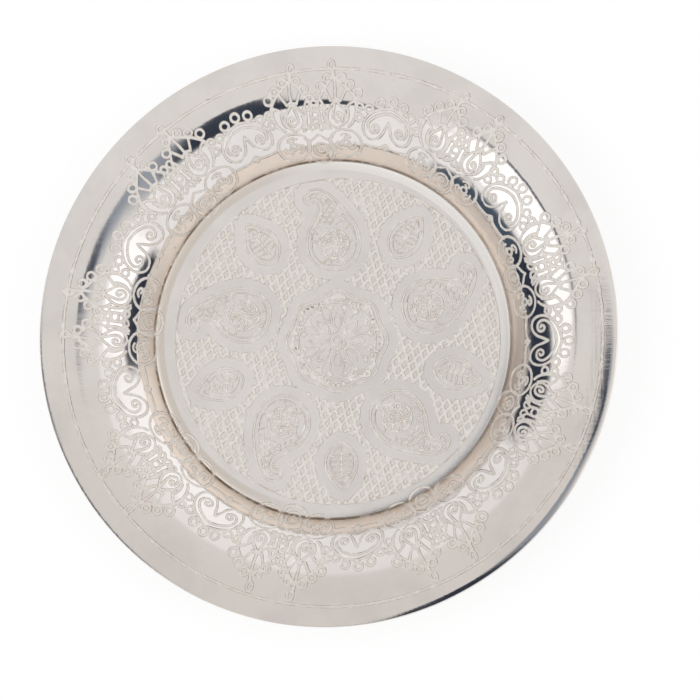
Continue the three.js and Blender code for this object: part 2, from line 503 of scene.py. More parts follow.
# The grid of the distance maps, in millimetres
CELL = 0.15
HALF_SPAN = 78.0
FAR = 9.0

# The hand that drew the border: its random numbers, and how far in millimetres its lines stray
BORDER_SEED = 100
BORDER_STRAY = 0.05

# A circle of radius 1 in steps of one degree
CIRCLE = np.exp(1j * np.linspace(0, 2 * np.pi, 361))

# Widths and distances of the lines on the floor, in millimetres
FIELD_LINE = 0.42
FIGURE_LINE = 0.52
SCALE_LINE = 0.46
SCALE_INSET = 1.5
OUTLINE_WIDTH = 0.6
SECOND_WIDTH = 0.44
SECOND_INSET = 1.15
BEAD_SPACING = 2.0
BEAD_INSET = 1.75
BEAD_RADIUS = 0.36
BEAD_LINE = 0.4


def ripple(x, y, wavelength, seed):
    """Smooth random number between about -1 and 1 over the sheet."""
    random = np.random.default_rng(seed)
    total = np.zeros_like(x)
    for _ in range(6):
        a, phase = random.uniform(0, 2 * np.pi, 2)
        k = 2 * np.pi / wavelength * random.uniform(0.6, 1.5)
        total += np.sin(k * (x * math.cos(a) + y * math.sin(a)) + phase)
    return total / 3.0


def segment_distance(x, y, a, b):
    """Distance of the points from the stretch between two complex points."""
    px, py = x - a.real, y - a.imag
    dx, dy = b.real - a.real, b.imag - a.imag
    t = np.clip((px * dx + py * dy) / (dx * dx + dy * dy + 1e-12), 0, 1)
    return np.hypot(px - t * dx, py - t * dy)


class SheetMap:
    """Square grid over the flat sheet, in millimetres."""

    def __init__(self):
        self.axis = np.arange(-HALF_SPAN, HALF_SPAN + CELL / 2, CELL)
        self.x, self.y = np.meshgrid(self.axis, self.axis)

    def blank(self):
        return np.full(self.x.shape, FAR, np.float32)

    def window(self, line, reach):
        """The part of the grid that lies within reach of a line."""
        i0, j0 = (int((v.min() - reach + HALF_SPAN) / CELL) for v in (line.real, line.imag))
        i1, j1 = (int((v.max() + reach + HALF_SPAN) / CELL) + 2 for v in (line.real, line.imag))
        return slice(max(j0, 0), j1), slice(max(i0, 0), i1)

    def stroke(self, values, line, width, reach=0.45):
        """Lowers the map to the distance from the edge of a line of that width."""
        for ends in zip(line, line[1:]):
            area = self.window(np.array(ends), reach + width / 2)
            away = segment_distance(self.x[area], self.y[area], *ends)
            np.minimum(values[area], away - width / 2, out=values[area])

    def outline(self, values, line, reach):
        """Lowers the map to the signed distance from a closed outline, negative inside it."""
        area = self.window(line, reach)
        x, y = self.x[area], self.y[area]
        nearest = np.full(x.shape, FAR)
        inside = np.zeros(x.shape, bool)
        for a, b in zip(line, line[1:]):
            np.minimum(nearest, segment_distance(x, y, a, b), out=nearest)
            if b.imag != a.imag:
                run = (b.real - a.real) * (y - a.imag) / (b.imag - a.imag)
                inside ^= ((y < a.imag) != (y < b.imag)) & (x - a.real < run)
        np.minimum(values[area], np.where(inside, -nearest, nearest), out=values[area])

    def sample(self, values, x, y):
        i, j = (x + HALF_SPAN) / CELL, (y + HALF_SPAN) / CELL
        i0, j0 = np.floor(i).astype(int), np.floor(j).astype(int)
        u, v = i - i0, j - j0
        return (
            values[j0, i0] * (1 - u) * (1 - v) + values[j0, i0 + 1] * u * (1 - v)
            + values[j0 + 1, i0] * (1 - u) * v + values[j0 + 1, i0 + 1] * u * v
        )


def etch_border(grid, etched, s, on_sheet):
    """Lace border and the worn line that runs round the rim."""
    for repeat in range(len(HEART_DIRECTIONS)):
        random = np.random.default_rng(BORDER_SEED + repeat)
        for line in border_lines():
            placed = on_sheet(laid_out(line, repeat), s.border_shift)
            placed = placed + complex(*random.normal(0, BORDER_STRAY, 2))
            grid.stroke(etched, placed, s.border_stroke * random.uniform(0.9, 1.08))
    rim_line = grid.blank()
    grid.stroke(rim_line, on_sheet(s.line_radius * CIRCLE, s.line_shift), s.line_width)
    worn = 0.45 + np.maximum(0, (grid.x * 0.64 + grid.y * 0.77) / s.line_radius)
    rough = worn * (0.07 * ripple(grid.x, grid.y, 1.3, 7) + 0.05 * ripple(grid.x, grid.y, 3.7, 8))
    np.minimum(etched, rim_line + rough, out=etched)


def etch_figures(grid, etched, s, centre):
    """Figures of the floor with their outlines and inner lines. Returns the distance from the figures."""
    field_line = grid.blank()
    grid.stroke(field_line, s.field_radius * CIRCLE + centre, FIELD_LINE)
    np.minimum(etched, field_line, out=etched)
    outlines, inside = floor_ornament()
    figures = grid.blank()
    for outline in outlines:
        grid.outline(figures, outline + centre, s.plain_band + 1.0)
    for line in inside:
        grid.stroke(etched, line + centre, FIGURE_LINE)
    for middle, line in boteh_scales():
        middle = middle + centre
        if grid.sample(figures, middle.real, middle.imag) < -SCALE_INSET:
            grid.stroke(etched, line + centre, SCALE_LINE)
    np.minimum(etched, abs(figures) - OUTLINE_WIDTH / 2, out=etched)
    np.minimum(etched, abs(figures + SECOND_INSET) - SECOND_WIDTH / 2, out=etched)
    for point in evenly(outlines[0] + centre, BEAD_SPACING, BEAD_INSET):
        grid.stroke(etched, point + loop(BEAD_RADIUS, BEAD_RADIUS), BEAD_LINE)
    return figures


def etched_map(s):
    """Distance to the nearest edge of the etching, negative inside the etched lines."""
    grid = SheetMap()
    etched = grid.blank()
    oval, centre = complex(*s.oval), complex(*s.field_shift)

    def on_sheet(line, shift):
        return line + complex(*shift) + oval * np.conj(line)

    etch_border(grid, etched, s, on_sheet)
    figures = etch_figures(grid, etched, s, centre)
    wobble = 0.06 * ripple(grid.x, grid.y, 9.0, 3)
    net = grid.blank()
    for direction, seed in ((s.steep_line, 4), (s.slant_line, 5)):
        across = (grid.y * math.cos(direction) - grid.x * math.sin(direction) + wobble) / s.lattice_pitch
        width = s.lattice_line / 2 * (1 + 0.12 * ripple(grid.x, grid.y, 4.0, seed))
        np.minimum(net, abs(across - np.round(across)) * s.lattice_pitch - width, out=net)
    radius = np.hypot(grid.x - centre.real, grid.y - centre.imag)
    bounds = np.maximum(radius - s.field_radius, s.plain_band - figures)
    np.minimum(etched, np.maximum(net, bounds), out=etched)
    return grid, etched


def evenly(line, spacing, inset):
    """Points at even spacing, a little inside a closed outline."""
    run = np.concatenate([[0], np.cumsum(abs(np.diff(line)))])
    count = max(3, int(round(run[-1] / spacing)))

    def point(at_run):
        return np.interp(at_run, run, line.real) + 1j * np.interp(at_run, run, line.imag)

    at_run = np.arange(count) * run[-1] / count
    points = point(at_run)
    ahead = point((at_run + 0.2) % run[-1]) - points
    area = (line[:-1].real * line[1:].imag - line[1:].real * line[:-1].imag).sum()
    return points + ahead / abs(ahead) * (1j if area > 0 else -1j) * inset


def crossings(values, level):
    """Points where the map passes a level on the grid lines, and the pairs of them to join."""
    v = values - level
    v[v == 0] = 1e-7
    above = v > 0
    across = above[:, :-1] != above[:, 1:]
    upward = above[:-1] != above[1:]
    number_x = np.full(across.shape, -1)
    number_y = np.full(upward.shape, -1)
    jx, ix = np.nonzero(across)
    jy, iy = np.nonzero(upward)
    number_x[jx, ix] = np.arange(len(jx))
    number_y[jy, iy] = np.arange(len(jy)) + len(jx)
    tx = v[jx, ix] / (v[jx, ix] - v[jx, ix + 1])
    ty = v[jy, iy] / (v[jy, iy] - v[jy + 1, iy])
    points = np.concatenate([(ix + tx) + 1j * jx, iy + 1j * (jy + ty)]) * CELL - HALF_SPAN * (1 + 1j)
    sides = np.stack([number_x[:-1], number_y[:, 1:], number_x[1:], number_y[:, :-1]], -1)
    count = (sides >= 0).sum(-1)
    two, four = sides[count == 2], sides[count == 4]
    order = np.argsort(two < 0, axis=1, kind="stable")
    pairs = [np.take_along_axis(two, order, 1)[:, :2]]
    if len(four):
        corner = v[:-1, :-1][count == 4]
        middle = (v[:-1, :-1] + v[1:, :-1] + v[:-1, 1:] + v[1:, 1:])[count == 4]
        same = ((corner > 0) == (middle > 0))[:, None]
        pairs.append(np.where(same, four[:, [0, 1]], four[:, [0, 3]]))
        pairs.append(np.where(same, four[:, [2, 3]], four[:, [1, 2]]))
    return points, np.concatenate(pairs)


def level_loops(values, level):
    """Closed loops where the map passes a level, as arrays of complex points in millimetres."""
    points, pairs = crossings(values, level)
    ends = np.concatenate([pairs, pairs[:, ::-1]])
    ends = ends[np.argsort(ends[:, 0], kind="stable")]
    beside = ends[:, 1].reshape(-1, 2).tolist()
    done = bytearray(len(points))
    loops = []
    for start in range(len(points)):
        if done[start]:
            continue
        chain = [start]
        done[start] = 1
        previous, here = start, beside[start][0]
        while here != start:
            chain.append(here)
            done[here] = 1
            a, b = beside[here]
            previous, here = here, (b if a == previous else a)
        loops.append(points[chain])
    return loops


def thinned(points, tolerance):
    """A closed loop with only the points that its shape needs."""
    count = len(points)
    far = int(np.argmax(abs(points - points[0])))
    ring = np.append(points, points[0])
    keep = {0, far}
    spans = [(0, far), (far, count)]
    while spans:
        a, b = spans.pop()
        if b - a < 2:
            continue
        chord = ring[b] - ring[a]
        offset = ring[a + 1:b] - ring[a]
        size = abs(chord)
        away = abs((offset * np.conj(chord)).imag) / size if size > 1e-9 else abs(offset)
        worst = int(np.argmax(away))
        if away[worst] > tolerance:
            middle = a + 1 + worst
            keep.add(middle)
            spans += [(a, middle), (middle, b)]
    return points[sorted(keep)]


# Meshes

# How closely the triangles follow the etching, in millimetres on the flat sheet
TOP_TOLERANCE = 0.028
BOTTOM_TOLERANCE = 0.034
FILL_SPACING = 1.7
CLEAR_OF_LINES = 0.5
CLEAR_OF_RINGS = 0.45
# Loops of no more grid points than this are left out
SHORTEST_LOOP = 8
# Shares of the etch depth below which a corner stays at the top, and above which it lies at the bottom
ROUND_DOWN = 0.22
ROUND_UP = 0.78

# Edges sharper than this are shown as edges
SHEET_CREASE = math.radians(28)
FOOT_CREASE = math.radians(35)

# Slopes that show in reflections only, and in millimetres how far each reaches
HANG = math.radians(1.3)
HANG_BEARING = math.radians(-31)
HANG_REACH = 2.2
ROLL_KNEE = math.radians(55)
ROLL_END = math.radians(88)
STEEP = math.radians(34)
STEEP_SHARE = 0.45
STEEP_START = 4.2
STEEP_RUN = 0.7
SHOULDER_LIFT = math.radians(2.6)
SHOULDER_INSET = 0.8
SHOULDER_REACH = 3.6
FOOT_REACH = 1.6
EDGE_SHARE = 0.3


def finish_mesh(name, bm):
    """Turns a bmesh into an object of the scene."""
    mesh = bpy.data.meshes.new(name)
    bm.to_mesh(mesh)
    bm.free()
    piece = bpy.data.objects.new(name, mesh)
    bpy.context.scene.collection.objects.link(piece)
    return piece


def spun(bm, points, steps, centre=(0.0, 0.0)):
    """Spins (radius, height) pairs in millimetres round an upright axis."""
    verts = [bm.verts.new(((centre[0] + r) * MM, centre[1] * MM, z * MM)) for r, z in points]
    edges = [bm.edges.new(pair) for pair in zip(verts, verts[1:])]
    bmesh.ops.spin(
        bm, geom=verts + edges, cent=(centre[0] * MM, centre[1] * MM, 0), axis=(0, 0, 1),
        angle=2 * math.pi, steps=steps, use_merge=True,
    )
    bmesh.ops.remove_doubles(bm, verts=bm.verts, dist=1e-7)


def smooth_with_edges(bm, limit, edges):
    """Shades all faces smooth, with sharp edges where they meet at more than the limit."""
    for face in bm.faces:
        face.smooth = True
    for edge in edges:
        if edge.calc_face_angle(0) > limit:
            edge.smooth = False


def sheet_plan(profile, sizes, s):
    """Corners of the flat triangles of the etched face, how deep each is etched, and the triangles."""
    grid, etched = etched_map(s)
    points, edges = [], []

    def add_loop(line):
        first = len(points)
        points.extend(line.tolist())
        edges.extend((first + k, first + (k + 1) % len(line)) for k in range(len(line)))

    for level, tolerance in ((0.0, TOP_TOLERANCE), (-s.etch_wall, BOTTOM_TOLERANCE)):
        for found in level_loops(etched.astype(float), level):
            if len(found) > SHORTEST_LOOP:
                add_loop(thinned(found, tolerance))
    circle = np.exp(2j * np.pi * np.arange(sizes.spin_steps) / sizes.spin_steps)
    add_loop(profile.end * circle)
    bends = ((profile.edge_start, profile.crease), (profile.fillet_start, profile.fillet_end))
    rings = [start + (end - start) * k / 4 for start, end in bends for k in range(5)]
    for ring in rings:
        add_loop(ring * circle)
    free = []
    for row, radius in enumerate(np.arange(profile.end - 1.2, 1.0, -FILL_SPACING)):
        count = max(6, int(round(2 * math.pi * radius / (FILL_SPACING * 1.15))))
        free.append(radius * np.exp(2j * np.pi * (np.arange(count) + 0.5 * (row % 2)) / count))
    free = np.concatenate([*free, [0j]])
    clear = abs(grid.sample(etched, free.real, free.imag)) > CLEAR_OF_LINES
    for ring in rings:
        clear &= abs(abs(free) - ring) > CLEAR_OF_RINGS
    points.extend(free[clear].tolist())
    flat = [Vector((p.real, p.imag)) for p in points]
    corners, _, triangles, *_ = delaunay_2d_cdt(flat, edges, [], 0, 1e-5)
    corners = np.array([tuple(c) for c in corners])
    depth = np.clip(-grid.sample(etched, corners[:, 0], corners[:, 1]) / s.etch_wall, 0, 1)
    depth[depth < ROUND_DOWN] = 0
    depth[depth > ROUND_UP] = 1
    return corners, depth, triangles


def etched_face(profile, sizes, s):
    """Mesh of the etched face, pressed to the profile."""
    corners, depth, triangles = sheet_plan(profile, sizes, s)
    run = np.hypot(corners[:, 0], corners[:, 1])
    way = corners / np.maximum(run, TINY)[:, None]
    r, z, slope = profile.at(run)
    r = r + np.sin(slope) * s.etch_depth * depth
    z = z - np.cos(slope) * s.etch_depth * depth
    face = bpy.data.meshes.new("face")
    face.from_pydata(np.column_stack([way * r[:, None], z]) * MM, [], triangles)
    etch = face.attributes.new("etch", "FLOAT", "POINT")
    etch.data.foreach_set("value", depth.astype(np.float32))
    return face


def make_sheet(sizes, s):
    """The pressed and etched sheet with its rolled edge, as one closed mesh."""
    profile = Profile(sizes)
    face = etched_face(profile, sizes, s)
    bm = bmesh.new()
    spun(bm, profile.below(), sizes.spin_steps)
    bmesh.ops.recalc_face_normals(bm, faces=bm.faces)
    if sum(f.normal.z for f in bm.faces if f.calc_center_median().z < profile.floor * MM) > 0:
        bmesh.ops.reverse_faces(bm, faces=bm.faces)
    under = len(bm.faces)
    bm.from_mesh(face)
    bpy.data.meshes.remove(face)
    rim = sizes.rim_height * MM - 1e-6
    border = [v for v in bm.verts if v.is_boundary and v.co.z > rim]
    bmesh.ops.remove_doubles(bm, verts=border, dist=5e-6)
    if any(len(edge.link_faces) != 2 for edge in bm.edges):
        raise RuntimeError("The etched sheet has open edges")
    top = bm.faces.layers.int.new("top")
    for index, item in enumerate(bm.faces):
        item[top] = index >= under
    smooth_with_edges(bm, SHEET_CREASE, [edge for edge in bm.edges if not edge.link_faces[1][top]])
    piece = finish_mesh("etched_sheet", bm)
    set_mirror_normals(piece.data, profile)
    return piece


def droop(bearing):
    """Share by which the edge of the rim hangs at a bearing, 1 at the lower right."""
    return np.clip((np.cos(bearing - HANG_BEARING) - 0.55) / 0.3, 0, 1)


def rolled_slope(turn, bearing):
    """Slope that the rolled edge mirrors at a turn from its top: flat for long, then quickly over."""
    gentle = (0.06 + 0.13 * droop(bearing)) * np.minimum(turn, ROLL_KNEE)
    over = np.clip((turn - ROLL_KNEE) / (math.pi / 2 - ROLL_KNEE), 0, 1)
    return HANG * droop(bearing) + gentle + (ROLL_END - gentle) * over**2


def mirrored_slope(profile, radius, slope, bearing):
    """Slope with the small departures of a worked sheet from its plan, which show in reflections only."""
    sizes = profile.sizes
    out = radius - sizes.crease_radius
    eased = STEEP + (slope - STEEP) * STEEP_SHARE
    firm = np.clip((out - STEEP_START) / STEEP_RUN, 0, 1)
    slope = np.where(slope > STEEP, slope + (eased - slope) * firm, slope)
    away = abs(radius - sizes.outside_radius + sizes.rim_width + SHOULDER_INSET)
    blend = np.clip(1 - away / SHOULDER_REACH, 0, 1)
    slope = slope + SHOULDER_LIFT * blend * blend * (3 - 2 * blend)
    crown = np.clip((radius - profile.roll_start + HANG_REACH) / HANG_REACH, 0, 1)
    slope = np.where(radius < profile.roll_start, slope - HANG * droop(bearing) * crown**2, slope)
    slope = np.where((out >= 0) & (out < FOOT_REACH), profile.wall_slope, slope)
    edge = np.clip((radius - profile.flat_end) / (sizes.crease_radius - profile.flat_end), 0, 1)
    return np.where(out < 0, -EDGE_SHARE * profile.edge_turn * edge**3, slope)


def read(items, name, kind=float, width=1):
    """One value or vector of all the items of a mesh, as an array."""
    values = np.zeros(len(items) * width, kind)
    items.foreach_get(name, values)
    return values.reshape(-1, width) if width > 1 else values


def set_mirror_normals(mesh, profile):
    """Gives the polished face the normals of its mirrored slopes, so that reflections run smoothly."""
    sizes = profile.sizes
    vertex = read(mesh.loops, "vertex_index", np.int32)
    totals = read(mesh.polygons, "loop_total", np.int32)
    top = read(mesh.attributes["top"].data, "value", np.int32)
    etch = read(mesh.attributes["etch"].data, "value", np.float32)[vertex]
    place = read(mesh.vertices, "co", width=3)[vertex]
    middle = read(mesh.polygons, "center", width=3)
    owner = np.repeat(np.arange(len(totals)), totals)
    first = np.cumsum(totals) - totals
    uneven = np.maximum.reduceat(etch, first) - np.minimum.reduceat(etch, first) > 0.25
    radius = np.hypot(place[:, 0], place[:, 1]) / MM
    toward = np.hypot(middle[:, 0], middle[:, 1])[owner] / MM
    way = place[:, :2] / np.maximum(radius * MM, TINY)[:, None]
    bearing = np.arctan2(way[:, 1], way[:, 0])
    inside = radius + np.sign(toward - radius) * 0.01
    slope = mirrored_slope(profile, inside, profile.slope_at(inside), bearing)
    drop = place[:, 2] / MM - sizes.rim_height + sizes.roll_radius
    outer = np.hypot(radius - profile.roll_start, drop) > sizes.roll_radius - 0.02
    below = top[owner] == 0
    roll = below & outer & (radius > profile.roll_start - 0.01) & (drop > 0.01)
    turn = np.arctan2(radius - profile.roll_start, drop)
    slope = np.where(roll, -rolled_slope(turn, bearing), slope)
    normal = np.column_stack([-np.sin(slope)[:, None] * way, np.cos(slope)])
    wall = uneven[owner]
    normal[wall] = read(mesh.polygons, "normal", width=3)[owner][wall]
    normal[below & ~roll] = 0
    mesh.normals_split_custom_set(normal.tolist())


def make_foot(name, low, high):
    """A crowned clear bumper: flat below, flat on the glue side, domed between."""
    centre = ((low[0] + high[0]) / 2 / MM, (low[1] + high[1]) / 2 / MM)
    radius, bottom, top = (high[0] - low[0]) / 2 / MM, low[2] / MM, high[2] / MM
    crown, chamfer, draft = 1.35, 0.12, 0.02
    points = [(0, bottom), (radius - crown - 0.9, bottom), (radius - crown - 0.35, bottom + 0.03)]
    for a in np.radians([14, 30, 46, 62, 78, 90]):
        points.append((radius - crown * (1 - math.sin(a)), bottom + 0.05 + crown * (1 - math.cos(a))))
    points += [(radius - draft, top - chamfer), (radius - draft - chamfer, top), (0, top)]
    bm = bmesh.new()
    spun(bm, points, 64, centre)
    bmesh.ops.recalc_face_normals(bm, faces=bm.faces)
    smooth_with_edges(bm, FOOT_CREASE, bm.edges)
    return finish_mesh(name, bm)


# Materials


def fill(tree, made, inputs):
    """Gives each named input of a node its value, or the socket to be linked to."""
    for key, value in inputs.items():
        if isinstance(value, bpy.types.NodeSocket):
            tree.links.new(value, made.inputs[key])
        else:
            made.inputs[key].default_value = value


def node(tree, kind, inputs=None, **settings):
    """Adds a shader node."""
    made = tree.nodes.new(kind)
    for key, value in settings.items():
        setattr(made, key, value)
    fill(tree, made, inputs or {})
    return made


def maths(tree, operation, *values, clamp=False):
    made = node(tree, "ShaderNodeMath", dict(enumerate(values)), operation=operation, use_clamp=clamp)
    return made.outputs[0]


def times(tree, product, *factors):
    for factor in factors:
        product = maths(tree, "MULTIPLY", product, factor)
    return product


def mix_colours(tree, factor, first, second, blend="MIX"):
    sockets = {0: factor}
    for key, value in ((6, first), (7, second)):
        sockets[key] = value if isinstance(value, bpy.types.NodeSocket) else (*value, 1)
    return node(tree, "ShaderNodeMix", sockets, data_type="RGBA", blend_type=blend).outputs[2]


def mix_values(tree, factor, first, second):
    return node(tree, "ShaderNodeMix", {0: factor, 2: first, 3: second}).outputs[0]


def step(tree, value, low, high):
    """Smooth step from 0 at low to 1 at high."""
    return node(
        tree, "ShaderNodeMapRange", {"Value": value, "From Min": low, "From Max": high},
        interpolation_type="SMOOTHSTEP",
    ).outputs[0]


def around(tree, value, middle, core, reach):
    """1 near the middle, falling to 0 between core and reach away from it."""
    away = maths(tree, "ABSOLUTE", maths(tree, "SUBTRACT", value, middle))
    return step(tree, away, reach, core)


def noise(tree, place, scale, detail=3.0, roughness=0.55, stretch=None):
    if stretch:
        place = node(tree, "ShaderNodeMapping", {"Vector": place, "Scale": stretch}).outputs[0]
    settings = {"Vector": place, "Scale": scale, "Detail": detail, "Roughness": roughness}
    return node(tree, "ShaderNodeTexNoise", settings).outputs[0]


def faded(colour, share):
    return tuple(value * share for value in colour)


def flat_length(tree, flat):
    return node(tree, "ShaderNodeVectorMath", {0: flat}, operation="LENGTH").outputs["Value"]


def flat_polar(tree, flat):
    """Coordinates that run round the dish, for streaks along its circles."""
    way = node(tree, "ShaderNodeVectorMath", {0: flat}, operation="NORMALIZE").outputs[0]
    x, y, _ = node(tree, "ShaderNodeSeparateXYZ", {0: way}).outputs
    reach = times(tree, flat_length(tree, flat), 60.0)
    return node(tree, "ShaderNodeCombineXYZ", {0: x, 1: y, 2: reach}).outputs[0]


def new_material(name):
    material = bpy.data.materials.new(name)
    material.use_nodes = True
    tree = material.node_tree
    shader = tree.nodes["Principled BSDF"]
    place = node(tree, "ShaderNodeTexCoord").outputs["Object"]
    return material, tree, shader, place


def polish_group():
    """Fine polishing scratches and slow ripples that metal and plastic share."""
    if "polish_marks" in bpy.data.node_groups:
        return bpy.data.node_groups["polish_marks"]
    group = bpy.data.node_groups.new("polish_marks", "ShaderNodeTree")
    group.interface.new_socket("Place", in_out="INPUT", socket_type="NodeSocketVector")
    for name in ("Scratches", "Ripples"):
        group.interface.new_socket(name, in_out="INPUT", socket_type="NodeSocketFloat")
    group.interface.new_socket("Height", in_out="OUTPUT", socket_type="NodeSocketFloat")
    put_in, put_out = group.nodes.new("NodeGroupInput"), group.nodes.new("NodeGroupOutput")
    place, scratches, ripples = (put_in.outputs[k] for k in range(3))
    one = noise(group, place, 900.0, 2.0, 0.6, stretch=(1.0, 0.09, 1.0))
    two = noise(group, place, 1100.0, 2.0, 0.6, stretch=(0.12, 1.0, 1.0))
    slow = noise(group, place, 90.0, 1.0, 0.5)
    marks = times(group, maths(group, "ADD", one, two), scratches)
    fill(group, put_out, {0: maths(group, "ADD", marks, times(group, slow, ripples))})
    return group


def polish(tree, place, scratches, ripples, strength, distance, relief=None):
    """Normal with the polishing marks, and any other relief, as a bump."""
    settings = {"Place": place, "Scratches": scratches, "Ripples": ripples}
    height = node(tree, "ShaderNodeGroup", settings, node_tree=polish_group()).outputs[0]
    if relief:
        height = maths(tree, "ADD", height, relief)
    bump = {"Strength": strength, "Distance": distance, "Height": height}
    return node(tree, "ShaderNodeBump", bump).outputs[0]


def silver_material(c, sizes):
    """Polished plate with matte etched ground, brown patina with painted shade in the crease and along
    etched edges, a yellowed foot of the wall with a painted reflection of the floor, and a painted
    highlight and painted shade on the two sides of the floor edge.
    """
    material, tree, shader, place = new_material("silver_plate")
    x, y, _ = node(tree, "ShaderNodeSeparateXYZ", {0: place}).outputs
    flat = node(tree, "ShaderNodeCombineXYZ", {0: x, 1: y}).outputs[0]
    side = maths(tree, "ADD", x, y)
    etch = node(tree, "ShaderNodeAttribute", attribute_name="etch").outputs["Fac"]
    top = node(tree, "ShaderNodeAttribute", attribute_name="top").outputs["Fac"]
    cloud = noise(tree, place, 55.0, 4.0, 0.6)
    grain = noise(tree, place, 1400.0, 3.0, 0.6)
    blots = noise(tree, place, 320.0, 3.0, 0.65)
    streaks = noise(tree, flat_polar(tree, flat), 26.0, 4.0, 0.6)
    # x, y and side are in metres. From here on, out and wavy are millimetres outward from the crease
    out = maths(tree, "SUBTRACT", times(tree, flat_length(tree, flat), 1 / MM), sizes.crease_radius)
    wavy = maths(tree, "ADD", out, times(tree, blots, 0.9))
    foot = times(tree, step(tree, out, -0.2, 0.3), step(tree, wavy, 4.75, 4.4), top)
    # Painted reflection of the dish floor in the foot of the wall, mixed with yellowed silver, in streaks.
    yellowed_and_reflected = times(tree, foot, mix_values(tree, step(tree, streaks, 0.3, 0.7), 0.45, 0.85))
    tide = times(tree, around(tree, wavy, 4.5, 0.05, 0.3), step(tree, streaks, 0.35, 0.75))
    spots = times(tree, foot, step(tree, noise(tree, place, 210.0, 2.0, 0.5), 0.70, 0.76), 0.7)
    # The floor edge, with a painted highlight on its upper right and painted shade on its left.
    floor_edge = times(tree, step(tree, out, -2.7, -1.9), step(tree, out, 0.1, -0.3))
    deep = step(tree, etch, 0.45, 0.95)
    ground = mix_colours(tree, step(tree, grain, 0.35, 0.7), c.etched, faded(c.etched, 0.86))
    dirty = times(tree, step(tree, out, 24.3, 26.3), step(tree, blots, 0.4, 0.6), 0.3)
    ground = mix_colours(tree, dirty, ground, c.patina_and_shade)
    # Brown along both edges of each etched line: patina, and painted shade of the relief.
    line_edge = step(tree, times(tree, etch, maths(tree, "SUBTRACT", 1.0, etch)), 0.04, 0.22)
    line_edge = times(tree, line_edge, step(tree, blots, 0.33, 0.58), mix_values(tree, foot, 0.72, 1.0))
    # Crease: brown patina in blots, with painted shade that is heavier on the left.
    crease = times(tree, around(tree, out, 0.4, 0.05, 0.42), step(tree, blots, 0.36, 0.58))
    crease = times(tree, crease, mix_values(tree, step(tree, x, 0.036, 0.0), 0.3, 0.9))
    dull = faded(c.silver, 0.93)
    base = c.silver
    for mask, coat in (
        (step(tree, cloud, 0.40, 0.66), dull),
        (times(tree, step(tree, grain, 0.5, 0.75), 0.5), dull),
        # yellowed silver with a painted reflection of the dish floor
        (yellowed_and_reflected, c.reflection_and_yellowing),
        (tide, faded(c.reflection_and_yellowing, 0.7)),
        (spots, c.patina_and_shade),
        # painted highlight on the upper right of the floor edge
        (times(tree, floor_edge, step(tree, side, 0.028, 0.062)), c.edge_highlight),
        # painted shade on the left of the floor edge
        (times(tree, floor_edge, step(tree, x, 0.0, -0.03)), c.edge_shade),
        (deep, ground),
        # patina and painted shade along the etched edges
        (line_edge, c.patina_and_shade),
        # patina and painted shade in the crease
        (crease, c.patina_and_shade),
    ):
        base = mix_colours(tree, mask, base, coat)
    shade = times(tree, step(tree, y, 0.03, -0.045), step(tree, out, 5.8, 21.8))
    gloss = mix_values(tree, step(tree, cloud, 0.35, 0.7), 0.06, 0.11)
    matte = mix_values(tree, deep, gloss, 0.55)
    matte = mix_values(tree, foot, matte, maths(tree, "MAXIMUM", matte, 0.36))
    matte = mix_values(tree, step(tree, out, 0.6, 0.0), matte, maths(tree, "MAXIMUM", matte, 0.27))
    fill(tree, shader, {
        "Base Color": mix_colours(tree, shade, base, c.shade, "MULTIPLY"),
        "Roughness": matte,
        "Metallic": mix_values(tree, deep, 1.0, 0.45),
        "Normal": polish(tree, place, 0.9, 2.2, 0.6, 0.00001, times(tree, grain, deep, 3.0)),
    })
    return material


def wire_material(c):
    material, tree, shader, place = new_material("drawn_wire")
    tone = noise(tree, place, 400.0, 3.0)
    fill(tree, shader, {
        "Base Color": mix_colours(tree, step(tree, tone, 0.35, 0.7), c.wire, faded(c.wire, 0.7)),
        "Metallic": 1.0,
        "Roughness": mix_values(tree, tone, 0.3, 0.55),
        "Normal": polish(tree, place, 1.5, 1.0, 0.5, 0.00002),
    })
    return material


def bumper_material(c):
    material, tree, shader, place = new_material("clear_bumper")
    haze = noise(tree, place, 700.0, 3.0)
    fill(tree, shader, {
        "Base Color": mix_colours(tree, step(tree, haze, 0.4, 0.75), c.bumper, faded(c.bumper, 0.9)),
        "Roughness": mix_values(tree, haze, 0.06, 0.22),
        "Transmission Weight": 0.85,
        "IOR": 1.46,
        "Normal": polish(tree, place, 0.4, 3.0, 0.4, 0.00002),
    })
    return material


# Stage


def seen(tree):
    """1 for what the camera sees directly, in a reflection or through glass."""
    path = node(tree, "ShaderNodeLightPath")
    total = maths(tree, "ADD", path.outputs["Is Camera Ray"], path.outputs["Is Glossy Ray"])
    return maths(tree, "ADD", total, path.outputs["Is Transmission Ray"], clamp=True)


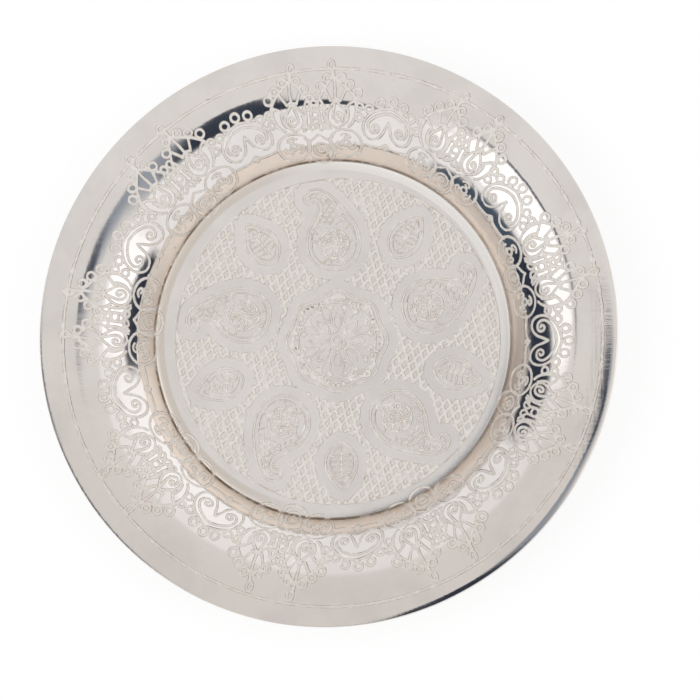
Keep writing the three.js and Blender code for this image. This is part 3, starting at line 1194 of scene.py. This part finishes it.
# Panels round the dish: name, tint, strength, soft edges (ends, near side, far side), whether it lights,
# distance, and stations. A round panel has stations of bearing, near side and far side, in degrees from
# straight up. A plan panel has stations of y, near x and far x on a sphere of radius 1 seen from above.
PANELS = (
    (
        "panel_above", "round", (1.0, 0.985, 0.965), 0.87, (0, 0, 0.2), False, 8.0,
        ((-180, 0, 32), (180, 0, 32)),
    ),
    (
        "panel_left", "round", (1.0, 1.0, 1.0), 1.4, (0.12, 0.06, 0.06), True, 7.9,
        (
            (158, 27, 56), (165, 21.5, 66), (171, 18.8, 69), (180, 16.5, 70), (190, 15.8, 70),
            (199, 16.5, 70), (206, 18.5, 69), (212, 22, 68), (219, 30, 67), (230, 38, 64),
        ),
    ),
    (
        "panel_right", "round", (1.0, 1.0, 1.0), 1.4, (0.16, 0.1, 0.06), True, 7.9,
        ((-32, 36, 66), (-18, 32, 67), (8, 33, 67), (17, 38, 65)),
    ),
    (
        "panel_soft_right", "round", (1.0, 1.0, 1.0), 1.16, (0.3, 0.3, 0.1), False, 7.95,
        ((-4, 47, 90), (20, 47, 90), (60, 50, 90), (88, 54, 90)),
    ),
    (
        "panel_dim", "plan", (0.36, 0.40, 0.46), 1.0, (0.1, 0.1, 0.7), False, 7.85,
        (
            (0.13, -0.04, 0.16), (0.08, -0.06, 0.22), (0.02, -0.05, 0.28), (-0.04, -0.04, 0.28),
            (-0.1, -0.02, 0.28), (-0.16, 0.06, 0.33), (-0.26, 0.16, 0.42), (-0.33, 0.24, 0.45),
        ),
    ),
    (
        "panel_dark_wedge", "plan", (0.03, 0.04, 0.065), 1.0, (0.1, 0.06, 0.12), False, 7.8,
        (
            (0.11, -0.09, -0.06), (0.09, -0.075, -0.01), (0.075, -0.06, 0.04), (0.06, -0.04, 0.085),
            (0.045, -0.015, 0.115), (0.025, 0.03, 0.13), (0.005, 0.08, 0.135),
        ),
    ),
    (
        "panel_dark_front", "plan", (0.03, 0.042, 0.065), 1.0, (0.04, 0.06, 0.35), False, 7.8,
        (
            (-0.07, -0.06, -0.03), (-0.1, -0.08, 0.01), (-0.13, -0.085, 0.07), (-0.17, -0.085, 0.13),
            (-0.21, -0.085, 0.20), (-0.27, -0.085, 0.29), (-0.32, -0.11, 0.35), (-0.36, -0.17, 0.37),
            (-0.40, -0.25, 0.36), (-0.44, -0.29, 0.30), (-0.48, -0.3, 0.2),
        ),
    ),
    (
        "panel_gap", "round", (0.14, 0.16, 0.20), 1.0, (0.2, 0.2, 0.2), False, 7.7,
        ((156, 16.4, 20.0), (164, 15.0, 19.0), (174, 13.8, 17.6), (184, 13.2, 16.8), (194, 14.2, 17.4)),
    ),
    (
        "panel_dark_left", "round", (0.03, 0.04, 0.065), 1.0, (0.1, 0.3, 0), False, 7.8,
        (
            (147, 62, 91), (154, 50, 91), (162, 43, 91), (172, 48, 91), (182, 60, 91), (192, 68, 91),
            (198, 72, 91),
        ),
    ),
    (
        "panel_blue_left", "round", (0.07, 0.10, 0.14), 1.0, (0.12, 0.3, 0), False, 7.82,
        ((188, 69, 91), (200, 71, 91), (215, 72, 91), (231, 74, 91)),
    ),
    (
        "panel_dark_right", "round", (0.03, 0.04, 0.06), 1.0, (0.14, 0.25, 0.15), False, 7.8,
        ((-28, 67, 81), (-12, 63, 81), (8, 63, 81), (20, 67, 81)),
    ),
)


def empty_tree(owner):
    """The node tree of a material or world, with no nodes in it."""
    owner.use_nodes = True
    owner.node_tree.nodes.clear()
    return owner.node_tree


def make_panel(name, form, tint, strength, soft, lights, distance, stations):
    """A panel of a sphere round the dish that shows in the metal. Only the light ones light it."""
    first, near, far = (np.array(column) for column in zip(*sorted(stations)))
    bm = bmesh.new()
    bm.loops.layers.uv.new("UVMap")
    bmesh.ops.create_grid(bm, x_segments=64, y_segments=16, size=0.5, calc_uvs=True)
    for v in bm.verts:
        place = first[0] + (v.co.x + 0.5) * (first[-1] - first[0])
        low, high = np.interp(place, first, near), np.interp(place, first, far)
        across = low + (v.co.y + 0.5) * (high - low)
        x, y = across, place
        if form == "round":
            reach = math.sin(math.radians(across))
            x, y = reach * math.cos(math.radians(place)), reach * math.sin(math.radians(place))
        up = math.sqrt(max(0.0, 1 - x * x - y * y))
        v.co = distance * Vector((x, y, -0.02 if across > 90 else up))
    panel = finish_mesh(name, bm)
    material = bpy.data.materials.new(name)
    tree = empty_tree(material)
    uv = node(tree, "ShaderNodeTexCoord").outputs["UV"]
    along_panel, across_panel, _ = node(tree, "ShaderNodeSeparateXYZ", {0: uv}).outputs
    ends, near_side, far_side = soft
    mask = 1.0
    for value, start, edge in (
        (along_panel, 0.0, ends), (across_panel, 0.0, near_side),
        (along_panel, 1.0, -ends), (across_panel, 1.0, -far_side),
    ):
        if edge:
            mask = times(tree, mask, step(tree, value, start, start + edge))
    clear = node(tree, "ShaderNodeBsdfTransparent")
    glow = node(tree, "ShaderNodeEmission", {"Color": (*tint, 1), "Strength": strength})
    mixed = node(tree, "ShaderNodeMixShader", {0: mask, 1: clear.outputs[0], 2: glow.outputs[0]})
    node(tree, "ShaderNodeOutputMaterial", {0: mixed.outputs[0]})
    panel.data.materials.append(material)
    panel.visible_camera = False
    panel.visible_shadow = False
    panel.visible_diffuse = lights
    panel.visible_transmission = False


def make_world(st):
    """Soft light for the surfaces, plain white where it is seen."""
    world = bpy.data.worlds.new("soft_white")
    bpy.context.scene.world = world
    tree = empty_tree(world)
    light = node(tree, "ShaderNodeBackground", {"Color": (1, 1, 1, 1), "Strength": st.world_light})
    white = node(tree, "ShaderNodeBackground", {"Color": (1, 1, 1, 1), "Strength": 1.0})
    mixed = node(tree, "ShaderNodeMixShader", {0: seen(tree), 1: light.outputs[0], 2: white.outputs[0]})
    node(tree, "ShaderNodeOutputWorld", {0: mixed.outputs[0]})


def make_floor(st):
    """White floor that keeps part of the object's shadow."""
    bm = bmesh.new()
    bmesh.ops.create_grid(bm, x_segments=1, y_segments=1, size=2.0)
    floor = finish_mesh("white_floor", bm)
    material = bpy.data.materials.new("white_floor")
    tree = empty_tree(material)
    paper = node(tree, "ShaderNodeBsdfDiffuse", {"Color": (0.9, 0.9, 0.9, 1)})
    white = node(tree, "ShaderNodeEmission", {"Color": (1, 1, 1, 1), "Strength": st.floor_glow})
    share = times(tree, seen(tree), st.glow_share)
    mixed = node(tree, "ShaderNodeMixShader", {0: share, 1: paper.outputs[0], 2: white.outputs[0]})
    node(tree, "ShaderNodeOutputMaterial", {0: mixed.outputs[0]})
    floor.data.materials.append(material)


def make_camera(st, sizes):
    """Camera at the photograph's angle."""
    rim = Vector((0, 0, sizes.rim_height * MM))
    off = math.sin(st.tilt)
    back = Vector((off * math.cos(st.bearing), off * math.sin(st.bearing), math.cos(st.tilt)))
    spot = rim + back * st.distance

    def axes(direction):
        right = Vector((0, 1, 0)).cross(direction).normalized()
        return right, direction.cross(right)

    right, up = axes(back)
    target = rim + right * st.aim[0] * MM + up * st.aim[1] * MM
    direction = (spot - target).normalized()
    right, up = axes(direction)
    camera = bpy.data.objects.new("camera", bpy.data.cameras.new("camera"))
    camera.data.lens = st.lens
    camera.data.sensor_width = 36.0
    camera.data.clip_end = 10.0
    camera.matrix_world = Matrix.Translation(spot) @ Matrix((right, up, direction)).transposed().to_4x4()
    bpy.context.scene.collection.objects.link(camera)
    bpy.context.scene.camera = camera


# Operators


class DISH_OT_etched_sheet(bpy.types.Operator):
    """Make the pressed, etched and rolled metal sheet"""

    bl_idname = "dish.etched_sheet"
    bl_label = "Etched Sheet"

    def execute(self, context):
        scene = context.scene
        piece = make_sheet(scene.dish_sheet, scene.dish_ornament)
        piece.data.materials.append(silver_material(scene.dish_finishes, scene.dish_sheet))
        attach(piece, BODY)
        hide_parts("dish_body")
        return {"FINISHED"}


class DISH_OT_rim_wire(bpy.types.Operator):
    """Dress the wire inside the rolled edge"""

    bl_idname = "dish.rim_wire"
    bl_label = "Rim Wire"

    def execute(self, context):
        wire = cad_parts["rim_wire"]
        wire.data.materials.clear()
        wire.data.materials.append(wire_material(context.scene.dish_finishes))
        return {"FINISHED"}


class DISH_OT_bumper_feet(bpy.types.Operator):
    """Make the four clear bumper feet"""

    bl_idname = "dish.bumper_feet"
    bl_label = "Bumper Feet"

    def execute(self, context):
        material = bumper_material(context.scene.dish_finishes)
        for index, name in enumerate(FOOT_NODES):
            low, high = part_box(name)
            foot = make_foot(f"bumper_foot_{index + 1}", low, high)
            foot.data.materials.append(material)
            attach(foot, BODY)
            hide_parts(name)
        return {"FINISHED"}


class DISH_OT_stage(bpy.types.Operator):
    """Make the floor, the light panels and the camera"""

    bl_idname = "dish.stage"
    bl_label = "Stage"

    def execute(self, context):
        settings = context.scene.dish_stage
        make_world(settings)
        make_floor(settings)
        for panel in PANELS:
            make_panel(*panel)
        make_camera(settings, context.scene.dish_sheet)
        context.scene.view_settings.view_transform = "Standard"
        return {"FINISHED"}


class DISH_PT_pieces(bpy.types.Panel):
    """Pieces and settings of the trinket dish"""

    bl_label = "Trinket Dish"
    bl_idname = "DISH_PT_pieces"
    bl_space_type = "VIEW_3D"
    bl_region_type = "UI"
    bl_category = "Trinket Dish"

    def draw(self, context):
        scene, layout = context.scene, self.layout
        for settings, operators in (
            (scene.dish_sheet, ("dish.etched_sheet",)),
            (scene.dish_ornament, ()),
            (scene.dish_finishes, ("dish.rim_wire", "dish.bumper_feet")),
            (scene.dish_stage, ("dish.stage",)),
        ):
            box = layout.box()
            for key in settings.bl_rna.properties.keys():
                if key not in ("rna_type", "name"):
                    box.prop(settings, key)
            for operator in operators:
                box.operator(operator)


CLASSES = (
    SheetSizes, OrnamentSizes, Finishes, StageSettings,
    DISH_OT_etched_sheet, DISH_OT_rim_wire, DISH_OT_bumper_feet, DISH_OT_stage, DISH_PT_pieces,
)
SETTINGS = {
    "dish_sheet": SheetSizes, "dish_ornament": OrnamentSizes,
    "dish_finishes": Finishes, "dish_stage": StageSettings,
}


def register():
    for item in CLASSES:
        bpy.utils.register_class(item)
    for name, group in SETTINGS.items():
        setattr(bpy.types.Scene, name, PointerProperty(type=group))


def unregister():
    for name in SETTINGS:
        delattr(bpy.types.Scene, name)
    for item in reversed(CLASSES):
        bpy.utils.unregister_class(item)


def main():
    register()
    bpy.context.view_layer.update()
    bpy.ops.dish.stage()
    bpy.ops.dish.etched_sheet()
    bpy.ops.dish.rim_wire()
    bpy.ops.dish.bumper_feet()


if __name__ == "__main__":
    main()
